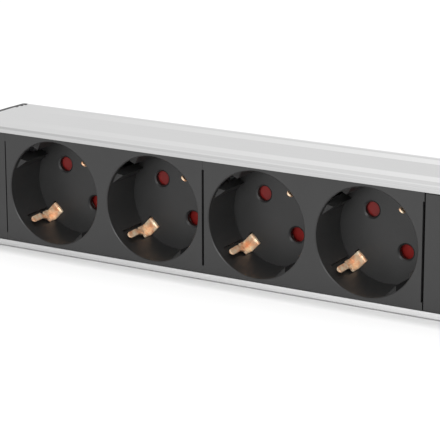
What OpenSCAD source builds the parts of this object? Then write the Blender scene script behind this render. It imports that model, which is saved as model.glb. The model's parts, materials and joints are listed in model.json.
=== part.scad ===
// Desk power strip: an extruded bar with four angled, shuttered sockets.
// Millimetres. Long axis X, front towards -Y, Z = 0 under the feet.

/* [Bar] */
// Height of the extruded bar, without the feet
bar_height = 45.8; // [44:0.1:50]
// Depth of the extruded bar, front lip to back
bar_depth = 40; // [39.5:0.5:48]
// Wall thickness of the extrusion
bar_wall = 1.6; // [1.5:0.1:1.8]
// Height of the lip seen above and below the black face
lip_height = 2.3; // [2.1:0.1:2.8]
// Length of the blank panel left of the sockets
left_blank = 17.2; // [12:0.2:40]
// Length of the wiring chamber right of the sockets
wiring_length = 43.2; // [40:0.2:80]
// Thickness of each end cap
cap_thickness = 2; // [2:0.1:4]
// Height of the rubber feet
foot_height = 0.3; // [0.3:0.1:2]

/* [Sockets] */
// Distance between neighbouring socket centres
socket_pitch = 43.2; // [42.6:0.1:50]
// Radius of the socket recess
mouth_radius = 19.4; // [19.2:0.1:19.6]
// Depth of the socket recess below the face
recess_depth = 17.5; // [17:0.1:17.8]
// Distance between the two pin holes
pin_spacing = 19; // [18.8:0.1:19.2]
// Diameter of each pin hole
pin_hole = 5.5; // [5:0.1:5.8]
// Angle of the pin line, anticlockwise from +X
pin_angle = 135; // [135:1:135]

/* [Shutters] */
// Angle a shutter has turned about its pivot
shutter_turn = 0; // [0:1:40]
// Diameter of the pivot pin
pivot_pin = 3; // [2.6:0.1:3.2]
// Radial clearance between pivot pin and shutter
pivot_clearance = 0.06; // [0.02:0.01:0.1]

/* [Earth clips] */
// Thickness of the clip strip
clip_thickness = 0.7; // [0.5:0.1:0.8]
// Width of the clip strip
clip_width = 4.8; // [4:0.1:5]
// Width of the contact finger
finger_width = 2.3; // [1.5:0.1:2.5]

/* [Inlet] */
// Height the inlet flange stands proud of the end cap
inlet_flange = 1.6; // [1:0.1:2.5]
// Distance between the two outer inlet blades
blade_spacing = 14; // [14:0.1:14]

/* [Hidden] */
eps = 0.01;
module_length = 2 * socket_pitch;
left_end = -(module_length + left_blank + cap_thickness);
right_end = module_length + wiring_length + cap_thickness;
seam_x = -(left_end + right_end + inlet_flange) / 2;
mid_z = foot_height + bar_height / 2;
inner_height = bar_height - 2 * bar_wall;
opening = bar_height - 2 * lip_height;

face_y = 0.5;
face_thickness = 1.8;
lip_depth = 1.4;
floor_y = face_y + recess_depth;
floor_thickness = 1.8;
rotor_y = floor_y + floor_thickness + 0.3;
rotor_thickness = 1.9;
carrier_y = rotor_y + rotor_thickness + 0.4;
carrier_thickness = 1.2;
strap_y = carrier_y + carrier_thickness;
bus_y = strap_y + clip_thickness;
bus_thickness = 0.8;
rail_y = 34.6;
rail_thickness = 0.8;
tray_back = bar_depth - bar_wall - 0.1;
tray_wall = 1.1;

pin_r = pin_spacing / 2;
rail_z = pin_r * sin(pin_angle);
bowl_radius = mouth_radius + 1.5;
pocket_radius = mouth_radius + 0.8;
ridge_radius = mouth_radius - 1.8;
ridge_near = 11.5;
ridge_far = 26;
ridge_y = 2.4;
plate_gap = 0.03;
tray_half = 15.6;
wing_ramp = 12;
screw_x = socket_pitch - 3.6;
screw_z = 12.2;
port_y = [24, 35.4];
port_z = inner_height / 2 - 2.4;
port_radius = 2.6;
key_y = [31.1, 34.2, 36.7];
core_radius = 1.25;
clip_base_r = 14.3;
clip_wall_r = 19.4;
clip_plate_y = floor_y - clip_thickness - 0.1;
clip_shoulder_y = floor_y - 3.6;
clip_tip_r = 16.5;
clip_tip_y = 2.8;
clip_slot_y = 5;
clip_apex_r = 15.75;
clip_apex_y = 8;
inlet_y = bar_depth / 2;
inlet_size = [19.6, 27];
tab_x = right_end - 28;
bond_x = module_length + 12;
bond_y = 8;
lead_radius = 1.3;
lead_bend_radius = 3;

metal = [0.83, 0.83, 0.84];
black = [0.16, 0.16, 0.17];
copper = [0.85, 0.55, 0.36];
brass = [0.8, 0.66, 0.36];
red = [0.55, 0.1, 0.09];
steel = [0.6, 0.6, 0.62];

// ---- shared helpers -------------------------------------------------------

// Local frame: x from the middle seam, y back from the front lip, z from mid height.
module in_bar() translate([seam_x, -bar_depth / 2, mid_z]) children();

module at_socket(n) in_bar() translate([(n - 2.5) * socket_pitch, 0, 0]) children();

module at_module(side) in_bar() translate([side * socket_pitch, 0, 0]) children();

module both_sockets() for (s = [-0.5, 0.5]) translate([s * socket_pitch, 0, 0]) children();

module along_x(length) rotate([90, 0, 90]) linear_extrude(length) children();

module rod(r, y0, y1, r2 = -1) translate([0, y0, 0]) rotate([-90, 0, 0])
  cylinder(r1 = r, r2 = r2 < 0 ? r : r2, h = y1 - y0, $fn = r > 10 ? 120 : 32);

module block(x, y, z) translate([x[0], y[0], z[0]]) cube([x[1] - x[0], y[1] - y[0], z[1] - z[0]]);

// Turns children made along +X so that they point at an angle seen from the front.
module spin(a) rotate([0, -a, 0]) children();

module screw_places() for (x = [-screw_x, 0, screw_x], z = [-screw_z, screw_z])
  translate([x, 0, z]) children();

// ---- bar ------------------------------------------------------------------

module outer_section() {
  h = bar_height / 2;
  d = bar_depth;
  polygon([[0, h - 0.9], [0.3, h - 0.4], [0.9, h - 0.16], [2, h - 0.1], [7.6, h - 0.1], [12.4, h],
    [d - 11.6, h], [d - 2, h - 0.2], [d - 0.6, h - 0.4], [d, h - 1], [d, 1 - h], [d - 0.3, 0.3 - h],
    [d - 1, -h], [0.4, -h], [0.1, 0.12 - h], [0, 0.4 - h]]);
}

module bar_section() difference() {
  outer_section();
  translate([lip_depth, -inner_height / 2]) square([bar_depth - lip_depth - bar_wall, inner_height]);
  translate([-1, -opening / 2]) square([lip_depth + 2, opening]);
}

module port_places() for (y = port_y, s = [-1, 1]) translate([0, y, s * port_z]) children();

module profile() color(metal) in_bar() difference() {
  length = right_end - left_end - 2 * cap_thickness;
  union() {
    translate([left_end + cap_thickness, 0, 0]) along_x(length) bar_section();
    translate([left_end + cap_thickness, 0, 0]) {
      port_places() rotate([0, 90, 0]) cylinder(r = port_radius, h = length, $fn = 32);
      for (y = port_y, s = [-1, 1]) block([0, length], [y - port_radius / 2, y + port_radius / 2],
        s > 0 ? [port_z, bar_height / 2 - 0.6] : [-bar_height / 2 + 0.6, -port_z]);
    }
  }
  translate([left_end, 0, 0]) port_places() rotate([0, 90, 0])
    cylinder(r = core_radius, h = length + 5, $fn = 32);
  translate([left_end, 0, 0]) cap_keys(0.05);
  translate([right_end, 0, 0]) mirror([1, 0, 0]) cap_keys(0.05);
  translate([bond_x, bond_y, -bar_height / 2 + bar_wall / 2]) cylinder(r = 1.5, h = 4, $fn = 32);
}

// Small keys in the rear half of the top edge of a cap or, with a gap, the notches they sit in.
module cap_keys(gap = 0) for (y = key_y)
  block([cap_thickness - eps, cap_thickness + 0.7 + gap], [y - 0.6 - gap, y + 0.6 + gap],
    [bar_height / 2 - 1 - gap, bar_height / 2 + 20 * gap]);

module cap_plate() {
  along_x(cap_thickness) outer_section();
  cap_keys();
}

// Ribs that locate a cap between the walls of the bar.
module cap_ribs() for (s = [0, 180]) rotate([s, 0, 0])
  block([cap_thickness - eps, cap_thickness + 3], s > 0 ? [-19, -5] : [5, 19],
    [inner_height / 2 - 1.3, inner_height / 2 - 0.1]);

module cap_screw_holes() port_places() rotate([0, 90, 0]) {
  translate([0, 0, -1]) cylinder(r = 1.7, h = 6, $fn = 32);
  translate([0, 0, -eps]) cylinder(r1 = 3.05, r2 = 1.7, h = 1.4, $fn = 32);
}

module end_cap_left() color(black) in_bar() translate([left_end, 0, 0]) difference() {
  union() {
    cap_plate();
    cap_ribs();
  }
  cap_screw_holes();
}

module end_cap_right() color(black) in_bar() translate([right_end, 0, 0]) mirror([1, 0, 0]) difference() {
  union() {
    cap_plate();
    cap_ribs();
  }
  cap_screw_holes();
  block([-1, cap_thickness + 1], [inlet_y - inlet_size[0] / 2 - 0.15, inlet_y + inlet_size[0] / 2 + 0.15],
    [-inlet_size[1] / 2 - 0.15, inlet_size[1] / 2 + 0.15]);
}

// Countersunk screw pointing along +X, its head flush with x = 0.
module cap_screw() rotate([0, 90, 0]) difference() {
  union() {
    translate([0, 0, 0.1]) cylinder(r1 = 2.9, r2 = 1.5, h = 1.4, $fn = 32);
    cylinder(r = 1.2, h = 11, $fn = 32);
  }
  for (a = [0, 90]) rotate(a) translate([-1.5, -0.25, -1]) cube([3, 0.5, 1.8]);
}

module end_cap_screws_left() color(steel) in_bar() translate([left_end, 0, 0]) port_places() cap_screw();

module end_cap_screws_right() color(steel) in_bar() translate([right_end, 0, 0])
  mirror([1, 0, 0]) port_places() cap_screw();

module rubber_feet() color([0.1, 0.1, 0.1]) in_bar()
  for (x = [left_end + 14, right_end - 14], y = [8, bar_depth - 8])
    translate([x, y, -mid_z]) cylinder(r = 5, h = foot_height, $fn = 32);

// ---- face panels ----------------------------------------------------------

module face_panel(x0, x1) {
  block([x0 + plate_gap, x1 - plate_gap], [face_y, face_y + face_thickness],
    [-opening / 2 + 0.1, opening / 2 - 0.1]);
  block([x0 + plate_gap, x1 - plate_gap], [lip_depth + 0.1, lip_depth + 1.6],
    [-inner_height / 2 + 0.15, inner_height / 2 - 0.15]);
}

// Grooves at the three seams of the face: place along the bar, reach to the left, reach to the right.
module seam_slots() for (s = [[-module_length, 0.25, 0.25], [0, 0.45, 0.45], [module_length, 0.55, 0.1]])
  block([s[0] - s[1], s[0] + s[2]], [-1, 3.4], [-17.8, 17.3]);

module blank_plate() color(black) in_bar() difference() {
  union() {
    face_panel(-module_length - left_blank, -module_length);
    block([-module_length - left_blank + 4, -module_length - 4], [2, 16], [-1, 1]);
  }
  seam_slots();
}

module wiring_cover() color(black) in_bar() difference() {
  union() {
    face_panel(module_length + 0.35, module_length + wiring_length);
    for (z = [-12, 12]) block([module_length + 5, module_length + 38], [2, 6], [z - 0.8, z + 0.8]);
  }
  translate([0, face_y, opening / 2 - 0.1]) rotate([45, 0, 0])
    translate([module_length - 1, -0.35, -0.35]) cube([wiring_length + 2, 0.7, 0.7]);
}

// ---- sockets --------------------------------------------------------------

module recess() {
  rod(mouth_radius, face_y - 1, floor_y, mouth_radius - 0.3);
  rod(mouth_radius + 0.6, face_y - 0.3, face_y + 0.4, mouth_radius - 0.1);
}

// Windows through the wall between the two guide ridges on the pin line.
module guide_windows() for (a = [pin_angle, pin_angle + 180]) intersection() {
  rod(bowl_radius + 1, face_y + face_thickness, floor_y);
  spin(a) rotate([90, 0, 0]) translate([0, 0, -floor_y]) linear_extrude(floor_y)
    polygon([[0, 0], [30, -30 * tan(ridge_near)], [30, 30 * tan(ridge_near)]]);
}

// One ridge beside a window: steep towards the window, tapering to the wall, with a sloped end.
module guide_ridge(side) difference() {
  rotate([90, 0, 0]) translate([0, 0, -floor_y - eps]) linear_extrude(floor_y - ridge_y)
    polygon([for (p = [[ridge_radius, ridge_near], [mouth_radius + 0.6, ridge_near],
      [mouth_radius + 0.4, ridge_far]]) [p[0] * cos(p[1]), side * p[0] * sin(p[1])]]);
  rod(mouth_radius + 0.2, ridge_y - eps, ridge_y + 2.2, ridge_radius - 0.1);
}

// Slots that let an earth clip rise through the floor and flex towards the wall.
module clip_slots() for (a = [45, 225]) spin(a) {
  block([clip_base_r - 0.25, clip_base_r + 1.7], [floor_y - 1, floor_y + 3],
    [-clip_width / 2 - 0.2, clip_width / 2 + 0.2]);
  block([mouth_radius - 2, pocket_radius], [clip_slot_y, floor_y],
    [-clip_width / 2 - 0.7, clip_width / 2 + 0.7]);
}

module pin_holes() for (a = [pin_angle, pin_angle + 180]) spin(a) translate([pin_r, 0, 0]) {
  rod(pin_hole / 2, floor_y - 1, floor_y + 6);
  rod(pin_hole / 2 + 0.6, floor_y - eps, floor_y + 0.5, pin_hole / 2 - 0.1);
}

module socket_front(side) {
  difference() {
    union() {
      face_panel(-socket_pitch, socket_pitch);
      both_sockets() rod(bowl_radius, lip_depth + 0.1, floor_y + floor_thickness);
      screw_places() rod(2.6, face_y + 1, carrier_y);
    }
    both_sockets() {
      recess();
      guide_windows();
      clip_slots();
      pin_holes();
    }
    screw_places() rod(0.9, floor_y - 8, carrier_y + 1);
    translate([-side * socket_pitch, 0, 0]) seam_slots();
  }
  both_sockets() for (a = [pin_angle, pin_angle + 180], side = [-1, 1]) spin(a) guide_ridge(side);
}

module socket_front_left() color(black) at_module(-1) socket_front(-1);

module socket_front_right() color(black) at_module(1) socket_front(1);

// Plate behind the floors that carries the shutter pivots and the earth clips.
module contact_carrier() difference() {
  union() {
    block([-socket_pitch + 0.4, socket_pitch - 0.4], [carrier_y, strap_y], [-tray_half, tray_half]);
    both_sockets() rod(pivot_pin / 2, rotor_y - 0.2, carrier_y + eps);
  }
  both_sockets() {
    for (a = [pin_angle, pin_angle + 180]) spin(a) translate([pin_r, 0, 0])
      rod(3.1, carrier_y - 1, strap_y + 1);
    for (a = [45, 225]) spin(a) block([clip_base_r - 0.5, clip_base_r + 1.2], [carrier_y - 1, strap_y + 1],
      [-clip_width / 2 - 0.2, clip_width / 2 + 0.2]);
  }
  screw_places() rod(1.4, carrier_y - 1, strap_y + 1);
}

module contact_carrier_left() color([0.8, 0.78, 0.72]) at_module(-1) contact_carrier();

module contact_carrier_right() color([0.8, 0.78, 0.72]) at_module(1) contact_carrier();

module contact_tray() {
  x = socket_pitch - 0.4;
  difference() {
    union() {
      difference() {
        block([-x, x], [strap_y + eps, tray_back], [-tray_half, tray_half]);
        block([-x + tray_wall, x - tray_wall], [strap_y - 1, tray_back - tray_wall],
          [-tray_half + tray_wall, tray_half - tray_wall]);
      }
      screw_places() rod(3.1, strap_y + eps, tray_back);
      for (s = [-1, 1], px = [-10, 10])
        block([px * 3 - 4, px * 3 - 2.8], [rail_y + rail_thickness, tray_back],
          s > 0 ? [3, 8.6] : [-8.6, -3]);
    }
    screw_places() {
      rod(1.4, strap_y - 1, tray_back + 1);
      rod(2.4, tray_back - 3.4, tray_back + 1);
    }
    for (s = [-1, 1]) block([-x - 1, x + 1], [rail_y - 0.2, rail_y + rail_thickness],
      s > 0 ? [2.8, 8.8] : [-8.8, -2.8]);
    block([-x - 1, x + 1], [strap_y - 1, bus_y + bus_thickness + 0.2], [-2.8, 2.8]);
  }
}

module contact_tray_left() color([0.8, 0.78, 0.72]) at_module(-1) contact_tray();

module contact_tray_right() color([0.8, 0.78, 0.72]) at_module(1) contact_tray();

// Pan-head screw driven from the back of the tray.
module module_screw() difference() {
  union() {
    rod(2.1, tray_back - 3.4, tray_back - 1.6);
    rod(1.2, strap_y - 1.2, tray_back - 3.3);
    rod(0.85, floor_y - 6, strap_y - 1.1);
  }
  for (a = [0, 90]) rotate([0, a, 0]) block([-1.3, 1.3], [tray_back - 2.5, tray_back], [-0.22, 0.22]);
}

module module_screws_left() color(steel) at_module(-1) screw_places() module_screw();

module module_screws_right() color(steel) at_module(1) screw_places() module_screw();

// ---- shutters -------------------------------------------------------------

// A wing whose face ramps down to one side, so that an entering pin drives the shutter round.
module wing() difference() {
  intersection() {
    rod(13.1, rotor_y, rotor_y + rotor_thickness);
    rotate([90, 0, 0]) translate([0, 0, -rotor_y - 3]) linear_extrude(4)
      polygon([[0, 0], [20, -20 * tan(21)], [20, 20 * tan(21)]]);
  }
  translate([0, rotor_y + 1.5, -5]) rotate([wing_ramp, 0, 0]) block([5.2, 15], [-6, 0], [-4, 14]);
}

module shutter() rotate([0, -shutter_turn, 0]) difference() {
  union() {
    rod(4.6, rotor_y, rotor_y + rotor_thickness);
    for (a = [pin_angle, pin_angle + 180]) spin(a) wing();
  }
  rod(pivot_pin / 2 + pivot_clearance, rotor_y - 1, rotor_y + 4);
  difference() {
    rod(3.8, rotor_y + 0.6, rotor_y + 4);
    rod(2.1, rotor_y, rotor_y + 5);
  }
}

module shutter_1() color(red) at_socket(1) shutter();

module shutter_2() color(red) at_socket(2) shutter();

module shutter_3() color(red) at_socket(3) shutter();

module shutter_4() color(red) at_socket(4) shutter();

// Torsion spring round the pivot, one leg standing in the carrier.
module shutter_spring() {
  for (k = [0, 1]) translate([0, rotor_y + 1.2 + 0.4 * k, 0]) rotate([90, 0, 0])
    rotate_extrude($fn = 40) translate([2.95, 0]) circle(r = 0.25, $fn = 16);
  spin(45) translate([2.95, 0, 0]) rod(0.22, rotor_y + 1.5, carrier_y);
}

module shutter_spring_1() color(steel) at_socket(1) shutter_spring();

module shutter_spring_2() color(steel) at_socket(2) shutter_spring();

module shutter_spring_3() color(steel) at_socket(3) shutter_spring();

module shutter_spring_4() color(steel) at_socket(4) shutter_spring();

// ---- earth ----------------------------------------------------------------

// One arm of a clip: up through the floor, out to the wall, then forward as a narrow finger.
module clip_arm() {
  t = clip_thickness;
  r0 = clip_base_r;
  r1 = clip_wall_r;
  linear_extrude(clip_width, center = true)
    polygon([[r0, bus_y], [r0, clip_plate_y], [r1 - t, clip_plate_y], [r1 - t, clip_shoulder_y],
      [r1, clip_shoulder_y], [r1, clip_plate_y + t], [r0 + t, clip_plate_y + t], [r0 + t, bus_y]]);
  linear_extrude(finger_width, center = true)
    polygon([[r1 - t, clip_shoulder_y + eps],
      [clip_apex_r, clip_apex_y + 0.5], [clip_apex_r, clip_apex_y - 0.5],
      [clip_tip_r, clip_tip_y + 0.1], [clip_tip_r + 0.35, clip_tip_y],
      [clip_tip_r + t, clip_tip_y + 0.35], [clip_apex_r + t, clip_apex_y - 0.3],
      [clip_apex_r + t, clip_apex_y + 0.3], [r1, clip_shoulder_y + eps]]);
}

module earth_clip() for (a = [45, 225]) spin(a) {
  clip_arm();
  block([-eps, clip_base_r + eps], [strap_y, bus_y], [-clip_width / 2, clip_width / 2]);
}

module earth_clip_1() color(copper) at_socket(1) earth_clip();

module earth_clip_2() color(copper) at_socket(2) earth_clip();

module earth_clip_3() color(copper) at_socket(3) earth_clip();

module earth_clip_4() color(copper) at_socket(4) earth_clip();

module earth_bus() color(copper) in_bar()
  block([-module_length + 8, module_length + 14], [bus_y, bus_y + bus_thickness], [-2.5, 2.5]);

// ---- live and neutral rails -----------------------------------------------

// One spring leaf of a pin contact, on the +Z side of the pin.
module contact_leaf() translate([-2.5, 0, 0]) along_x(5)
  polygon([[rail_y + 0.3, 2.9], [31, 2.2], [28.5, 2.1], [bus_y + 1.8, 2.9], [bus_y + 1.8, 3.5],
    [28.5, 2.7], [31, 2.8], [rail_y + 0.3, 3.6]]);

module rail(s) {
  difference() {
    union() {
      block([-module_length + 8, module_length + 8], [rail_y, rail_y + rail_thickness],
        s > 0 ? [3, 8.6] : [-8.6, -3]);
      for (n = [-1.5:1.5]) translate([n * socket_pitch - s * rail_z, 0, s * rail_z])
        rod(4.4, rail_y, rail_y + rail_thickness);
    }
    for (n = [-1.5:1.5]) translate([n * socket_pitch - s * rail_z, 0, s * rail_z])
      rod(2.8, rail_y - 1, rail_y + rail_thickness + 1);
  }
  for (n = [-1.5:1.5]) translate([n * socket_pitch - s * rail_z, 0, s * rail_z]) {
    contact_leaf();
    mirror([0, 0, 1]) contact_leaf();
  }
}

module live_rail() color(brass) in_bar() rail(1);

module neutral_rail() color(brass) in_bar() rail(-1);

// ---- inlet and leads ------------------------------------------------------

// Rectangle with two corners cut, the outline of the inlet opening.
module keyed_outline(w, h, cut)
  polygon([[-w / 2, -h / 2 + cut], [-w / 2, h / 2 - cut], [-w / 2 + cut, h / 2],
    [w / 2, h / 2], [w / 2, -h / 2], [-w / 2 + cut, -h / 2]]);

module inlet_body() color([0.11, 0.11, 0.12]) in_bar() translate([right_end, inlet_y, 0]) difference() {
  union() {
    along_x(inlet_flange) square([22.8, 30.8], center = true);
    translate([-19.5, 0, 0]) along_x(19.5 + eps) square(inlet_size, center = true);
  }
  translate([-17, 0, 0]) along_x(20) keyed_outline(16.2, 24.2, 3.6);
  blade_places() block([-20, -10], [-1.03, 1.03], [-2.03, 2.03]);
}

module blade_places() for (p = [[2, 1], [2, -1], [-2, 0]]) translate([0, p[0], p[1] * blade_spacing / 2])
  children();

module inlet_blades() color(steel) in_bar() translate([right_end, inlet_y, 0]) blade_places() {
  block([-19.6, -2], [-1, 1], [-2, 2]);
  block([-28, -19.5], [-0.4, 0.4], [-3.15, 3.15]);
}

// A quarter turn of lead about the origin, from +X to +Y.
module lead_bend() rotate_extrude(angle = 90, $fn = 48) translate([lead_bend_radius, 0])
  circle(r = lead_radius, $fn = 24);

// Insulated lead that runs along -X from x0 and then turns to +Y at x1.
module lead(x0, x1, y0, y1, z) {
  r = lead_bend_radius;
  translate([x1 + r, y0, z]) rotate([0, 90, 0]) cylinder(r = lead_radius, h = x0 - x1 - r, $fn = 24);
  translate([x1 + r, y0 + r, z]) rotate(180) lead_bend();
  translate([x1, y0 + r, z]) rotate([-90, 0, 0]) cylinder(r = lead_radius, h = y1 - y0 - r, $fn = 24);
}

// Crimped sleeve that pushes onto an inlet tab.
module sleeve(x, y, z) translate([x, y, z]) difference() {
  block([-3, 6.5], [-1.5, 1.5], [-3.9, 3.9]);
  block([0, 8], [-0.5, 0.5], [-3.25, 3.25]);
}

module power_lead(s) {
  z = s * blade_spacing / 2;
  sleeve(tab_x, inlet_y + 2, z);
  lead(tab_x - 2.9, module_length + 4.5, inlet_y + 2, rail_y, z);
}

module wire_live() color([0.42, 0.24, 0.14]) in_bar() power_lead(1);

module wire_neutral() color([0.2, 0.35, 0.7]) in_bar() power_lead(-1);

module wire_earth() color([0.35, 0.6, 0.2]) in_bar() {
  sleeve(tab_x, inlet_y - 2, 0);
  lead(tab_x - 2.9, module_length + 5, inlet_y - 2, bus_y, 0);
}

// Bent strip from the earth bus over the screw port to the bonding screw.
module bond_strap() color(copper) in_bar() {
  t = bus_thickness;
  x = [bond_x - 3, bond_x + 3];
  floor_z = -inner_height / 2;
  shelf_z = -12;
  drop_y = bond_y + 10;
  block(x, [bus_y, bus_y + t], [shelf_z, -2.5]);
  block(x, [drop_y, bus_y + t], [shelf_z - t, shelf_z]);
  block(x, [drop_y, drop_y + t], [floor_z, shelf_z - t]);
  difference() {
    block(x, [bond_y - 3.4, drop_y], [floor_z, floor_z + t]);
    translate([bond_x, bond_y, floor_z - 1]) cylinder(r = 1.6, h = 3, $fn = 32);
  }
}

module bond_screw() color(steel) in_bar() translate([bond_x, bond_y, -inner_height / 2]) difference() {
  union() {
    translate([0, 0, 0.8]) cylinder(r = 2.8, h = 1.8, $fn = 32);
    translate([0, 0, -0.7]) cylinder(r = 1.45, h = 1.6, $fn = 32);
  }
  for (a = [0, 90]) rotate(a) translate([-1.6, -0.25, 1.7]) cube([3.2, 0.5, 2]);
}

profile();
end_cap_left();
end_cap_right();
end_cap_screws_left();
end_cap_screws_right();
socket_front_left();
socket_front_right();
contact_carrier_left();
contact_carrier_right();
contact_tray_left();
contact_tray_right();
module_screws_left();
module_screws_right();
blank_plate();
wiring_cover();
shutter_1();
shutter_2();
shutter_3();
shutter_4();
shutter_spring_1();
shutter_spring_2();
shutter_spring_3();
shutter_spring_4();
earth_clip_1();
earth_clip_2();
earth_clip_3();
earth_clip_4();
earth_bus();
live_rail();
neutral_rail();
inlet_body();
inlet_blades();
wire_live();
wire_neutral();
wire_earth();
bond_strap();
bond_screw();
rubber_feet();
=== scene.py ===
"""Desk power strip: the looks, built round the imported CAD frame. Metres, row frame."""

import json
import math

import bmesh
import bpy
from mathutils import Matrix, Vector


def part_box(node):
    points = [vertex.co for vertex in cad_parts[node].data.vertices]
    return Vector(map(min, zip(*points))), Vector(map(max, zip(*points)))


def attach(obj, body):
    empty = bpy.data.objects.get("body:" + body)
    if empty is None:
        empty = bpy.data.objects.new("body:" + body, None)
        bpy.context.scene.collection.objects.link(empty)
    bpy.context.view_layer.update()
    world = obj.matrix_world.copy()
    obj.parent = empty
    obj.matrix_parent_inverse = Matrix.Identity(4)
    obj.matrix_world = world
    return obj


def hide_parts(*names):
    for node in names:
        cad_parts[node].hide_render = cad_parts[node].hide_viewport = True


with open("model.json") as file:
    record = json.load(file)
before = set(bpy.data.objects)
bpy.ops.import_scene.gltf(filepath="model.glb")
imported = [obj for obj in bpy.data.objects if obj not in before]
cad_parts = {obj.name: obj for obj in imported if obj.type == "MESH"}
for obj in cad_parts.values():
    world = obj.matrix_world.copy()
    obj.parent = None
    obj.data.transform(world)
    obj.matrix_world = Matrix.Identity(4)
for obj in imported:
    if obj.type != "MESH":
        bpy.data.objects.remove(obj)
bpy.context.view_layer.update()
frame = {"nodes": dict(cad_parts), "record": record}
nodes = frame["nodes"]
scene = bpy.context.scene

MM = 0.001
BAR_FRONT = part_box("profile")[0].y
BAR_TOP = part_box("profile")[1].z
SOCKETS = (1, 2, 3, 4)
SOCKET_TURN = 45  # degrees

# Painted highlight bands along the bar's top, standing in for reflections of the lighting: start and end in
# mm from the front, and how much lighter each is.
TOP_PAINTED_HIGHLIGHTS = ((0, 2, 0.5), (6.5, 12.2, 0.72), (28.4, 35, 0.84), (37.2, 38.6, 0.6), (38.6, 41, 0.9))
HIGHLIGHT_BLUR = 0.25 * MM
# Painted light: the highlight bands and the lower lip grow lighter along the bar, from the one X to the
# other.
PAINTED_LIGHT_FROM, PAINTED_LIGHT_TO = -110 * MM, 90 * MM
# How far below the top the painted highlight bands reach, how far behind the front the lips' painted shade
# and light reach, and the lips' height.
TOP_SKIN, LIP_SKIN, SKIN_BLUR = 1.0 * MM, 0.7 * MM, 0.2 * MM
LIP_HEIGHT, LIP_BLUR = 3.5 * MM, 0.5 * MM
# Shares of painted shade on the upper lip and at the lower lip's left end, and of painted light at its right
# end.
UPPER_LIP_PAINTED_SHADE, LOWER_LIP_PAINTED_SHADE, LOWER_LIP_PAINTED_LIGHT = 0.29, 0.13, 0.27

# Half of an earth clip's middle line, in mm: distance from the socket's axis, depth behind the face
# and bend radius. It runs from the finger's tip to the strap, and the other half mirrors it.
CLIP_TIP = (16.85, 2.95)
CLIP_BENDS = (
    (16.1, 8.0, 1.4),  # the finger's apex, where it meets the plug
    (19.05, 13.9, 1.0),  # its root at the recess wall
    (19.05, 17.55, 0.35),  # the fold on to the recess floor
    (14.65, 17.55, 0.35),  # the fold through the floor
    (14.65, 23.95, 0.7),  # the strap behind the socket front
)
# The strip itself, in mm: half its width at the plate, the finger and the very tip.
CLIP_PLATE_HALF, CLIP_FINGER_HALF, CLIP_TIP_HALF = 2.4, 1.2, 0.04
CLIP_THICK, CLIP_SINK = 0.7, 0.1
# Its bevelled edges, which take no more than this share of the half width.
CLIP_BEVEL, BEVEL_SHARE, BEVEL_CORNER = 0.14, 0.45, 0.3
# The finger's length along the strip, and where round its end the strip widens into the plate.
CLIP_FINGER_LENGTH, CLIP_WIDENING = 11.6, (-0.15, 0.25)
# The crease along the middle: its rise past the finger, over what run, and its height on the finger.
CLIP_CREASE, CREASE_RUN, FINGER_CREASE = 0.30, 0.8, 0.06
CREASE_TOP_HALF, CREASE_SIDE_SHARE = 0.12, 0.55
CLIP_TWIST = 1.2  # degrees past the socket's own turn
CLIP_STEP, ARC_STEPS, TINY = 0.16, 12, 1e-12

# Widths in mm of the small moulded and drawn edges on the CAD nodes that show.
EDGES = {"profile": 0.1, "end_cap_left": 0.2, "end_cap_right": 0.2,
         "blank_plate": 0.12, "wiring_cover": 0.12, "inlet_body": 0.2}
EDGE_ANGLE, EDGE_SEGMENTS, WELD_GAP = 35, 2, 0.001 * MM

FLOOR_HALF = 6.0
WORLD_STRENGTH = 0.85

# The camera's turn from facing +Y, its tilt down and its roll are in degrees, and its lens is in mm.
CAMERA_PLACE = (0.36733, -0.63631, 0.2195)
CAMERA_TURN, CAMERA_TILT, CAMERA_ROLL = 31.23124, 15.22558, -0.11668
CAMERA_LENS, CAMERA_SENSOR = 173.6411, 36
CAMERA_NEAR, CAMERA_FAR = 0.01, 20


# ---------------------------------------------------------------- materials
class Graph:
    """A short way of writing a node tree."""

    def __init__(self, name):
        self.material = bpy.data.materials.new(name)
        self.material.use_nodes = True
        self.tree = self.material.node_tree
        self.shader = self.tree.nodes["Principled BSDF"]
        self.place = self.add("ShaderNodeTexCoord").outputs["Object"]

    def plug(self, value, socket):
        """Links a socket's value or sets it as a constant."""
        if isinstance(value, bpy.types.NodeSocket):
            self.tree.links.new(value, socket)
        else:
            socket.default_value = value

    def add(self, kind, values=None, **settings):
        node = self.tree.nodes.new(kind)
        for key, value in settings.items():
            setattr(node, key, value)
        for key, value in (values or {}).items():
            self.plug(value, node.inputs[key])
        return node

    def set(self, **values):
        """Feeds the shader's own inputs."""
        for key, value in values.items():
            self.plug(value, self.shader.inputs[key.replace("_", " ")])

    def scaled(self, scale):
        return self.add("ShaderNodeMapping", {"Vector": self.place, "Scale": scale}).outputs["Vector"]

    def noise(self, scale, detail, rough, place=None):
        return self.add("ShaderNodeTexNoise", {"Vector": place or self.place, "Scale": scale,
                                               "Detail": detail, "Roughness": rough}).outputs["Fac"]

    def remap(self, value, low, high, out_low, out_high):
        return self.add("ShaderNodeMapRange", {"Value": value, "From Min": low, "From Max": high,
                                               "To Min": out_low, "To Max": out_high}).outputs["Result"]

    def edge(self, value, middle, blur, before, after):
        """A soft step from one level to another, centred on the middle."""
        return self.remap(value, middle - blur, middle + blur, before, after)

    def math(self, kind, a, b):
        return self.add("ShaderNodeMath", {0: a, 1: b}, operation=kind).outputs[0]

    def plus(self, a, b):
        return self.math("ADD", a, b)

    def minus(self, a, b):
        return self.math("SUBTRACT", a, b)

    def times(self, a, b):
        return self.math("MULTIPLY", a, b)

    def mix(self, fac, a, b):
        colours = {6: a, 7: b}
        for index, value in colours.items():
            if not isinstance(value, bpy.types.NodeSocket):
                colours[index] = (*value, 1)
        return self.add("ShaderNodeMix", {"Factor": fac, **colours}, data_type="RGBA").outputs[2]

    def bump(self, height, distance):
        values = {"Height": height, "Distance": distance, "Strength": 1.0}
        return self.add("ShaderNodeBump", values).outputs["Normal"]


def grey(v):
    return (v, v, v)


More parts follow.
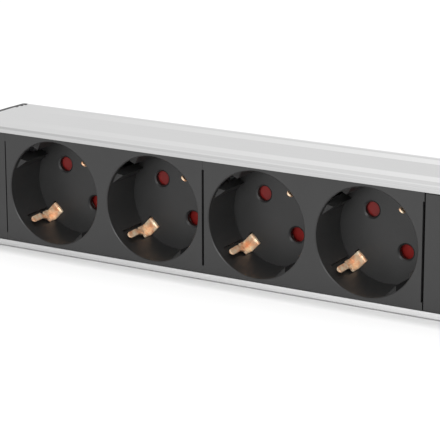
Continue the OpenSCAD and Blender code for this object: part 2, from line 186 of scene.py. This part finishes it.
def moulded(name, dark, light, rough=0.5, grain=0.04 * MM, grain_scale=2600, gloss=0.5):
    """Matt moulded plastic: spark-eroded grain and faint flow marks."""
    g = Graph(name)
    eroded = g.noise(grain_scale, detail=2, rough=0.6)
    flow = g.noise(55, detail=5, rough=0.6)
    g.set(Base_Color=g.mix(g.remap(flow, 0.3, 0.7, 0, 1), dark, light),
          Roughness=g.remap(flow, 0.3, 0.7, rough - 0.05, rough + 0.06),
          Normal=g.bump(eroded, grain))
    g.shader.inputs["Specular IOR Level"].default_value = gloss
    return g.material


def metal(name, dark, light, rough, metallic=1.0, patch=160):
    """Rolled or plated metal: soft patches of two tones under a very fine grain."""
    g = Graph(name)
    fine = g.noise(900, detail=3, rough=0.5)
    cloud = g.noise(patch, detail=4, rough=0.6)
    g.set(Base_Color=g.mix(g.remap(cloud, 0.35, 0.65, 0, 1), dark, light),
          Metallic=metallic,
          Roughness=g.remap(fine, 0.3, 0.7, rough - 0.06, rough + 0.06),
          Normal=g.bump(fine, 0.002 * MM))
    return g.material


def anodised():
    """Satin anodised extrusion: drawing lines along X, etched grain, painted highlight bands along the top,
    and painted shade and painted light on the lips.
    """
    g = Graph("anodised_aluminium")
    lines = g.noise(1.0, detail=3, rough=0.6, place=g.scaled((6, 2600, 2600)))
    etch = g.noise(2200, detail=2, rough=0.6)
    cloud = g.noise(30, detail=4, rough=0.6)
    relief = g.plus(g.times(lines, 0.7), g.times(etch, 0.3))
    axes = g.add("ShaderNodeSeparateXYZ", {"Vector": g.place}).outputs
    along = g.remap(axes["X"], PAINTED_LIGHT_FROM, PAINTED_LIGHT_TO, 0.0, 1.0)

    # Painted highlights: lighter bands across the top, in place of reflections.
    bands = 0.0
    for start, end, lift in TOP_PAINTED_HIGHLIGHTS:
        rise = g.edge(axes["Y"], BAR_FRONT + start * MM, HIGHLIGHT_BLUR, 0.0, lift)
        fall = g.edge(axes["Y"], BAR_FRONT + end * MM, HIGHLIGHT_BLUR, 0.0, lift)
        bands = g.plus(bands, g.minus(rise, fall))
    top = g.edge(axes["Z"], BAR_TOP - TOP_SKIN, SKIN_BLUR, 0.0, 1.0)
    lips = g.edge(axes["Y"], BAR_FRONT + LIP_SKIN, SKIN_BLUR, 1.0, 0.0)
    # Painted shade on the upper lip; painted shade then painted light along the lower lip.
    upper = g.times(lips, g.edge(axes["Z"], BAR_TOP - LIP_HEIGHT, LIP_BLUR, 0.0, UPPER_LIP_PAINTED_SHADE))
    lower = g.times(lips, g.edge(axes["Z"], LIP_HEIGHT, LIP_BLUR, 1.0, 0.0))

    # Painted light and painted shade, mixed into the base colour towards white and towards black.
    painted_light = g.plus(g.times(g.times(bands, along), top), g.times(g.times(lower, along), LOWER_LIP_PAINTED_LIGHT))
    painted_shade = g.plus(upper, g.times(lower, g.remap(along, 0.0, 1.0, LOWER_LIP_PAINTED_SHADE, 0.0)))
    base = g.mix(g.remap(cloud, 0.3, 0.7, 0, 1), grey(0.745), grey(0.755))
    g.set(Base_Color=g.mix(painted_light, g.mix(painted_shade, base, grey(0.0)), grey(1.0)),
          Metallic=1.0,
          Roughness=g.remap(lines, 0.3, 0.7, 0.34, 0.42),
          Normal=g.bump(relief, 0.008 * MM))
    return g.material


PLASTICS = {
    "black_plastic": dict(dark=grey(0.019), light=grey(0.023), rough=0.42),
    "cap_plastic": dict(dark=grey(0.022), light=grey(0.028)),
    "inlet_plastic": dict(dark=grey(0.018), light=grey(0.024), rough=0.42),
    "natural_plastic": dict(dark=(0.55, 0.53, 0.47), light=(0.62, 0.60, 0.54), rough=0.45),
    "red_plastic": dict(dark=(0.19, 0.010, 0.009), light=(0.28, 0.018, 0.015), gloss=0.2),
    "foot_rubber": dict(dark=grey(0.016), light=grey(0.024), rough=0.75, grain=0.08 * MM, grain_scale=1500),
    "brown_insulation": dict(dark=(0.12, 0.05, 0.025), light=(0.16, 0.07, 0.035), rough=0.35),
    "blue_insulation": dict(dark=(0.03, 0.08, 0.32), light=(0.05, 0.11, 0.38), rough=0.35),
    "green_yellow_insulation": dict(dark=(0.1, 0.32, 0.05), light=(0.55, 0.5, 0.04), rough=0.35),
}
METALS = {
    "copper_alloy": dict(dark=(0.90, 0.44, 0.23), light=(1.0, 0.85, 0.62), rough=0.34,
                         metallic=0.45, patch=420),
    "contact_brass": dict(dark=(0.70, 0.54, 0.26), light=(0.80, 0.64, 0.34), rough=0.3),
    "zinc_steel": dict(dark=(0.52, 0.52, 0.54), light=(0.62, 0.62, 0.63), rough=0.32),
    "plated_blades": dict(dark=(0.66, 0.65, 0.62), light=(0.75, 0.74, 0.71), rough=0.25),
}
SLOTS = {
    "anodised_aluminium": anodised(),
    **{name: moulded(name, **look) for name, look in PLASTICS.items()},
    **{name: metal(name, **look) for name, look in METALS.items()},
}
slot_of = {subpart["node"]: subpart["material_slot"] for subpart in frame["record"]["subparts"]}
for name, obj in nodes.items():
    obj.data.materials.clear()
    obj.data.materials.append(SLOTS[slot_of[name]])


# ---------------------------------------------------------------- earth clips
def rounded_path(points, radii, step):
    """Evenly spaced points along a polyline whose inner corners are rounded by arcs, and its length."""
    pts = [Vector(p) for p in points]
    dense = [pts[0]]
    for before, corner, after, radius in zip(pts, pts[1:], pts[2:], radii):
        a, b = (before - corner).normalized(), (after - corner).normalized()
        half = a.angle(b) / 2
        reach = radius / math.tan(half)
        centre = corner + (a + b).normalized() * (radius / math.sin(half))
        start, end = corner + a * reach - centre, corner + b * reach - centre
        sweep = math.pi - 2 * half
        for k in range(ARC_STEPS + 1):
            t = k / ARC_STEPS
            spoke = (start * math.sin((1 - t) * sweep) + end * math.sin(t * sweep)) / math.sin(sweep)
            dense.append(centre + spoke)
    dense.append(pts[-1])
    lengths = [0.0]
    for a, b in zip(dense, dense[1:]):
        lengths.append(lengths[-1] + (b - a).length)
    total = lengths[-1]
    count = round(total / step)
    path, k = [], 0
    for i in range(count + 1):
        target = total * i / count
        while k < len(dense) - 2 and lengths[k + 1] < target:
            k += 1
        span = max(lengths[k + 1] - lengths[k], TINY)
        path.append(dense[k].lerp(dense[k + 1], min(1.0, (target - lengths[k]) / span)))
    return path, total


def smooth_step(low, high, value):
    """From 0 at the low value to 1 at the high one, level at both ends."""
    t = min(1.0, max(0.0, (value - low) / (high - low)))
    return t * t * (3 - 2 * t)


def clip_middle_line():
    """The strip's middle line from finger tip to finger tip: x out from the axis, y into the socket."""
    half = [CLIP_TIP, *((r, y) for r, y, _ in CLIP_BENDS)]
    radii = [radius for _, _, radius in CLIP_BENDS]
    points = [(-r, y, 0) for r, y in half] + [(r, y, 0) for r, y in reversed(half)]
    return rounded_path(points, radii + radii[::-1], CLIP_STEP)


def clip_half_width(from_tip):
    """Half the strip's width at a distance from the nearer tip: round tip, finger, then plate."""
    if from_tip < CLIP_FINGER_HALF:
        rounding = CLIP_FINGER_HALF ** 2 - (CLIP_FINGER_HALF - from_tip) ** 2
        return math.sqrt(max(rounding, CLIP_TIP_HALF ** 2))
    start, end = (CLIP_FINGER_LENGTH + offset for offset in CLIP_WIDENING)
    return CLIP_FINGER_HALF + (CLIP_PLATE_HALF - CLIP_FINGER_HALF) * smooth_step(start, end, from_tip)


def clip_section(from_tip):
    """The outline across the strip, as (across, out) pairs: bevelled edges and a crease along the middle."""
    half = clip_half_width(from_tip)
    crease_end = CLIP_FINGER_LENGTH + CREASE_RUN
    crease = CLIP_CREASE * smooth_step(CLIP_FINGER_LENGTH, crease_end, from_tip) + FINGER_CREASE
    edge = min(CLIP_BEVEL, half * BEVEL_SHARE)
    corner = BEVEL_CORNER * edge
    inner = half - edge
    face = CLIP_THICK / 2
    upper = [(CREASE_TOP_HALF, face), (inner * CREASE_SIDE_SHARE, face), (inner, face),
             (half - corner, face - corner), (half, face - edge)]
    lower = [(half, edge - face), (inner, -face), (0.0, -face), (-inner, -face), (-half, edge - face)]
    outline = [(-w, n) for w, n in reversed(upper)] + [(0.0, face)] + upper + lower
    return [(w, n + crease * (1 - abs(w) / half) - CLIP_SINK) for w, n in outline]


def add_mesh(name, verts, faces, material_name):
    """A smooth mesh object in the scene, with its faces turned outwards."""
    data = bpy.data.meshes.new(name)
    data.from_pydata(verts, [], faces)
    bm = bmesh.new()
    bm.from_mesh(data)
    bmesh.ops.recalc_face_normals(bm, faces=bm.faces)
    bm.to_mesh(data)
    bm.free()
    for face in data.polygons:
        face.use_smooth = True
    data.materials.append(SLOTS[material_name])
    obj = bpy.data.objects.new(name, data)
    scene.collection.objects.link(obj)
    return obj


def earth_clip(number):
    """The pressed earth contact of one socket: a creased strip from finger tip to finger tip."""
    node = f"earth_clip_{number}"
    low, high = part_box(node)
    centre = (low + high) / 2
    turn = math.radians(SOCKET_TURN + CLIP_TWIST)
    path, total = clip_middle_line()
    last = len(path) - 1
    along, verts, loops = 0.0, [], []
    for i, p in enumerate(path):
        if i:
            along += (p - path[i - 1]).length
        tangent = (path[min(i + 1, last)] - path[max(i - 1, 0)]).normalized()
        normal = Vector((tangent.y, -tangent.x, 0))
        section = clip_section(min(along, total - along))
        loops.append(range(len(verts), len(verts) + len(section)))
        for w, n in section:
            r, y, _ = p + normal * n
            x = r * math.cos(turn) - w * math.sin(turn)
            z = r * math.sin(turn) + w * math.cos(turn)
            verts.append((centre.x + x * MM, BAR_FRONT + y * MM, centre.z + z * MM))
    faces = []
    for a, b in zip(loops, loops[1:]):
        for j in range(len(a)):
            k = (j + 1) % len(a)
            faces.append((a[j], a[k], b[k], b[j]))
    faces.append(tuple(loops[0]))
    faces.append(tuple(reversed(loops[-1])))
    obj = add_mesh(node + "_pressed", verts, faces, "copper_alloy")
    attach(obj, "strip")
    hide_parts(node)


for number in SOCKETS:
    earth_clip(number)


# ---------------------------------------------------------------- edges of the CAD nodes
def soften(name, width):
    """Welds a CAD node's mesh and rounds its sharp edges."""
    weld = nodes[name].modifiers.new("weld", "WELD")
    weld.merge_threshold = WELD_GAP
    bevel = nodes[name].modifiers.new("edges", "BEVEL")
    bevel.width = width * MM
    bevel.segments = EDGE_SEGMENTS
    bevel.limit_method = "ANGLE"
    bevel.angle_limit = math.radians(EDGE_ANGLE)
    bevel.harden_normals = True


for name, width in EDGES.items():
    soften(name, width)


# ---------------------------------------------------------------- floor, light, camera
def lay_floor():
    """A plain pale floor, wide enough for every view."""
    mesh = bpy.data.meshes.new("floor")
    corners = [(x * FLOOR_HALF, y * FLOOR_HALF, 0) for x, y in ((-1, -1), (1, -1), (1, 1), (-1, 1))]
    mesh.from_pydata(corners, [], [(0, 1, 2, 3)])
    floor = bpy.data.objects.new("floor", mesh)
    scene.collection.objects.link(floor)
    g = Graph("floor_white")
    g.set(Base_Color=(*grey(0.74), 1), Roughness=0.9)
    g.shader.inputs["Specular IOR Level"].default_value = 0.0
    mesh.materials.append(g.material)


def white_studio():
    """An even white world, shown in plain display colours."""
    world = bpy.data.worlds.new("studio")
    scene.world = world
    world.use_nodes = True
    background = world.node_tree.nodes["Background"].inputs
    background["Color"].default_value = (1, 1, 1, 1)
    background["Strength"].default_value = WORLD_STRENGTH
    scene.view_settings.view_transform = "Standard"


def area(name, place, aim, width, height, power):
    """A soft box that lights the scene and isn't seen by the camera."""
    data = bpy.data.lights.new(name, "AREA")
    data.shape = "RECTANGLE"
    data.size, data.size_y = width, height
    data.energy = power
    obj = bpy.data.objects.new(name, data)
    obj.location = place
    obj.rotation_mode = "QUATERNION"
    obj.rotation_quaternion = (Vector(aim) - Vector(place)).to_track_quat("-Z", "Y")
    obj.visible_camera = False
    scene.collection.objects.link(obj)
    return obj


def set_camera():
    data = bpy.data.cameras.new("camera")
    data.sensor_width = CAMERA_SENSOR
    data.lens = CAMERA_LENS
    data.clip_start, data.clip_end = CAMERA_NEAR, CAMERA_FAR
    camera = bpy.data.objects.new("camera", data)
    turn = Matrix.Rotation(math.radians(CAMERA_TURN), 4, "Z")
    tilt = Matrix.Rotation(math.radians(90 - CAMERA_TILT), 4, "X")
    roll = Matrix.Rotation(math.radians(CAMERA_ROLL), 4, "Z")
    camera.matrix_world = Matrix.Translation(CAMERA_PLACE) @ turn @ tilt @ roll
    scene.collection.objects.link(camera)
    scene.camera = camera


lay_floor()
white_studio()
overhead = area("overhead", place=(0, 0.2, 2.2), aim=(0, 0.2, 0), width=1.6, height=0.4, power=28)
# Kept out of reflections, so that the metal top isn't blown out when seen from above.
overhead.visible_glossy = False
area("frontal", place=(0, -1.6, 0.3), aim=(0, 0, 0.02), width=0.5, height=0.35, power=5)
area("key", place=(0.95, -1.25, 1.0), aim=(0, 0, 0.02), width=0.4, height=0.4, power=10)
set_camera()
